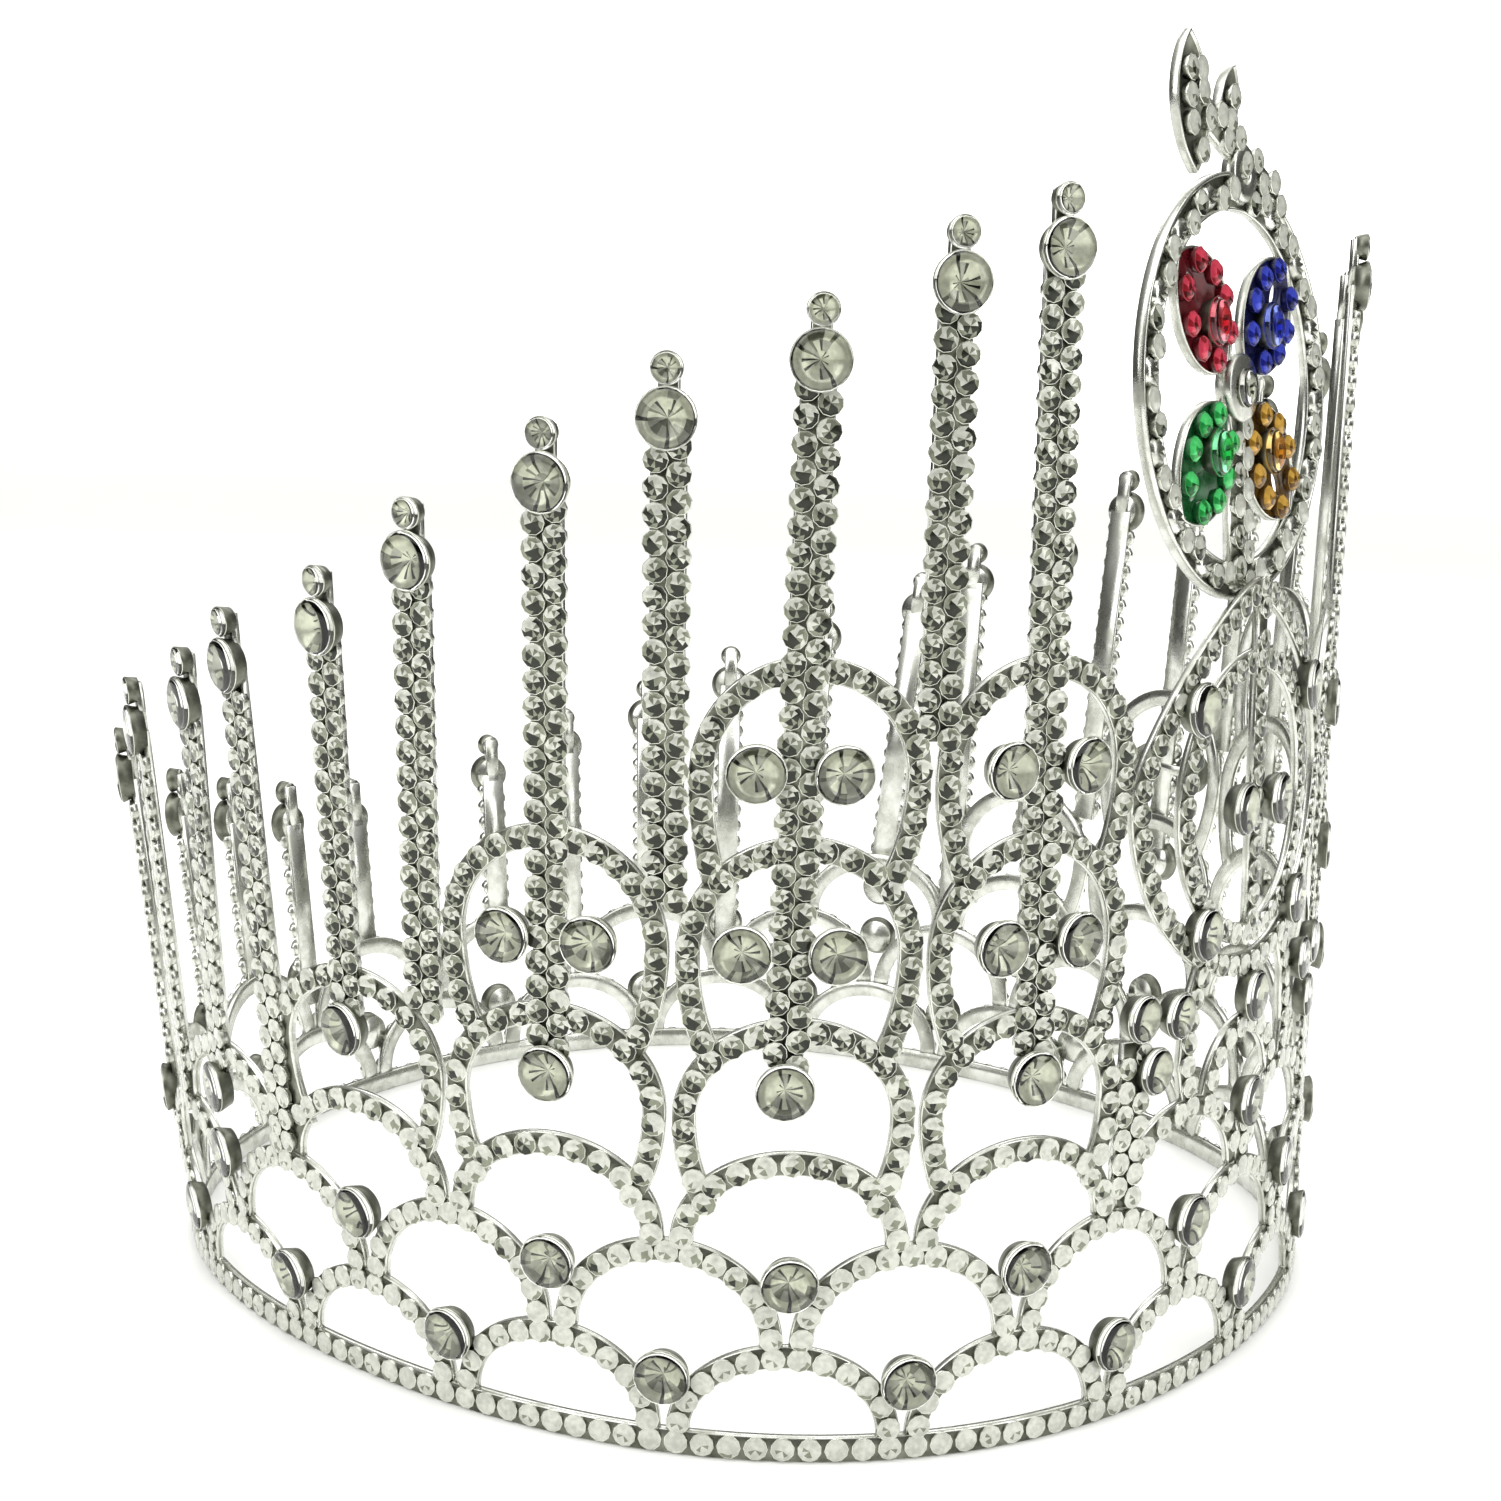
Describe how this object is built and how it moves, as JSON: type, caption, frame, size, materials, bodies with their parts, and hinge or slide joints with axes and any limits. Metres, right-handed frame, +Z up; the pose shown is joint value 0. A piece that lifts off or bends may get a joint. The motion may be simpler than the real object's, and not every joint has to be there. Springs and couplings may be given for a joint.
{
  "type": "full-round jewelled crown",
  "caption": "Tall full-round crown of silver strips set with cut clear stones, with arches, hoops, posts and a round front ornament with coloured petals.",
  "frame": {"origin": "on the floor under the crown, at the middle of the band's plan", "axes": "+Z up out of the crown, -Y out of its front, where the ornament is, and +X to the right of someone who looks at the front"},
  "size_m": [0.1766, 0.1703, 0.1657],
  "materials": {
    "silver_metal": "polished silver plate, darker in the recesses between the stones",
    "clear_stone": "clear cut glass stones with foiled backs, in thin bright cups",
    "red_stone": "foiled red cut glass",
    "blue_stone": "foiled blue cut glass",
    "green_stone": "foiled green cut glass",
    "amber_stone": "foiled amber cut glass"
  },
  "bodies": {
    "root": {"crown_frame": "silver_metal", "ornament_frame": "silver_metal", "row_1_stones": "clear_stone", "row_2_stones": "clear_stone", "hoop_pair_stones": "clear_stone", "pendant_stones": "clear_stone", "post_stones": "clear_stone", "post_tip_stones": "clear_stone", "front_stones": "clear_stone", "trefoil_stones": "clear_stone", "red_petal_stones": "red_stone", "blue_petal_stones": "blue_stone", "green_petal_stones": "green_stone", "amber_petal_stones": "amber_stone", "red_stone": "red_stone", "blue_stone": "blue_stone", "green_stone": "green_stone", "amber_stone": "amber_stone", "ornament_centre_stone": "clear_stone"}
  },
  "joints": []
}
